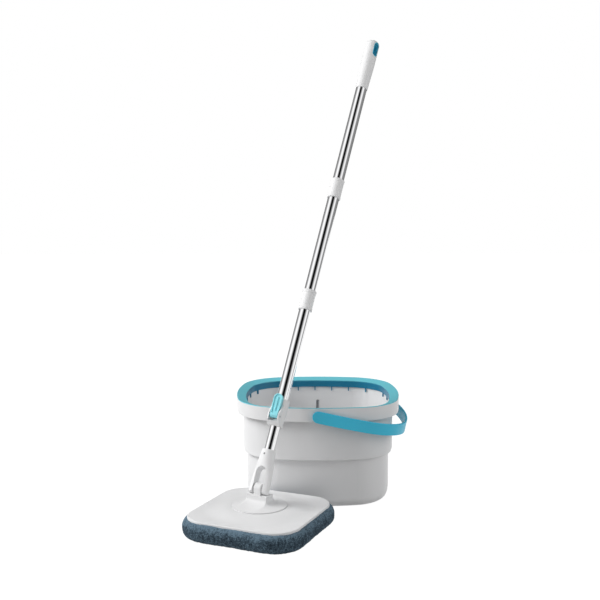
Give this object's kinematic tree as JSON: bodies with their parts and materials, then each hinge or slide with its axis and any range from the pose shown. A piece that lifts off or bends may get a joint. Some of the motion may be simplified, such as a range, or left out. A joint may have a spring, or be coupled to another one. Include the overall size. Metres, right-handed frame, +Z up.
{
  "type": "spin mop",
  "caption": "Flat spin mop with a leaning telescopic pole, tilting swivel head and square pad, beside its square spin bucket with a bail and a centre spindle.",
  "frame": {"origin": "centre of the bucket's base, on the floor", "axes": "+Z up, +X to the side where the bail hangs, +Y to the back, away from the mop head"},
  "size_m": [0.4712, 0.6242, 1.0239],
  "materials": {
    "bucket_white": "semi-gloss moulded",
    "joint_white": "semi-gloss moulded",
    "ring_turquoise": "satin moulded",
    "bail_turquoise": "satin moulded",
    "lever_turquoise": "satin moulded",
    "liner_teal": "satin moulded",
    "pole_chrome": "mirror polished",
    "pad_microfibre": "short looped pile",
    "pin_steel": "turned",
    "bearing_plastic": "natural acetal",
    "hook_tape": "hook fastener"
  },
  "bodies": {
    "bucket": {"bucket_shell": "bucket_white", "splash_ring": "ring_turquoise", "spindle_post": "joint_white", "post_screws": "pin_steel", "spindle_bush": "bearing_plastic"},
    "bail": {"bail_handle": "bail_turquoise", "bail_pins": "bail_turquoise"},
    "spindle": {"spindle_pin": "pin_steel", "spindle_clip": "pin_steel", "spindle_hub": "joint_white"},
    "head": {"head_plate": "joint_white", "mop_pad": "pad_microfibre", "hook_strips": "hook_tape", "spindle_socket": "joint_white", "socket_screws": "pin_steel"},
    "dome": {"swivel_dome": "joint_white", "dome_retainer": "pin_steel", "retainer_screw": "pin_steel"},
    "foot": {"fork": "joint_white", "tilt_pin": "pin_steel", "fork_rivet": "pin_steel", "inner_tube": "pole_chrome", "stop_ring": "pin_steel", "nut_housing": "bearing_plastic", "nut_cap": "bearing_plastic"},
    "glide": {"glide_bush": "bearing_plastic"},
    "nut": {"drive_nut": "bearing_plastic"},
    "pole": {"lock_body": "joint_white", "guide_bush": "bearing_plastic", "lever_pin": "pin_steel", "clamp_collar": "bearing_plastic", "lower_tube": "pole_chrome", "lower_connector": "joint_white", "middle_tube": "pole_chrome", "upper_connector": "joint_white", "upper_tube": "pole_chrome", "grip": "joint_white", "hang_hole_liner": "liner_teal", "rod_holder": "bearing_plastic", "twisted_rod": "pin_steel"},
    "lever": {"lock_lever": "lever_turquoise"}
  },
  "joints": [
    {"name": "bail_swing", "type": "hinge", "parent": "bucket", "child": "bail", "pos_m": [0, 0, 0.203], "axis": [0, -1, 0], "range_deg": [0, 102]},
    {"name": "spindle_spin", "type": "hinge", "parent": "bucket", "child": "spindle", "pos_m": [0, 0, 0.18], "axis": [0, 0, 1], "continuous": true},
    {"name": "mop_lift", "type": "slide", "parent": "bucket", "child": "head", "axis": [-0.1314, -0.3158, 0.9397], "range_m": [0, 0.3]},
    {"name": "head_swivel", "type": "hinge", "parent": "head", "child": "dome", "pos_m": [-0.11749, -0.28328, 0.04], "axis": [0, 0, 1], "continuous": true},
    {"name": "pole_tilt", "type": "hinge", "parent": "dome", "child": "foot", "pos_m": [-0.11749, -0.28328, 0.083], "axis": [0.849, -0.5284, 0], "range_deg": [-5, 108]},
    {"name": "pole_spin", "type": "hinge", "parent": "foot", "child": "glide", "pos_m": [-0.0096, -0.10994, 0.49073], "axis": [0.2366, 0.3801, 0.8942], "continuous": true},
    {"name": "pole_pump", "type": "slide", "parent": "glide", "child": "pole", "axis": [0.2366, 0.3801, 0.8942], "range_m": [-0.045, 0.25]},
    {"name": "nut_spin", "type": "hinge", "parent": "glide", "child": "nut", "pos_m": [-0.01083, -0.11192, 0.48608], "axis": [0.2366, 0.3801, 0.8942], "range_deg": [-1201, 217]},
    {"name": "lever_flip", "type": "hinge", "parent": "pole", "child": "lever", "pos_m": [-0.08943, -0.24352, 0.21972], "axis": [0.9124, -0.4032, -0.07], "range_deg": [0, 95]}
  ],
  "couplings": [
    {"joint": "nut_spin", "follows": "pole_pump", "rad_per_m": -83.776}
  ]
}
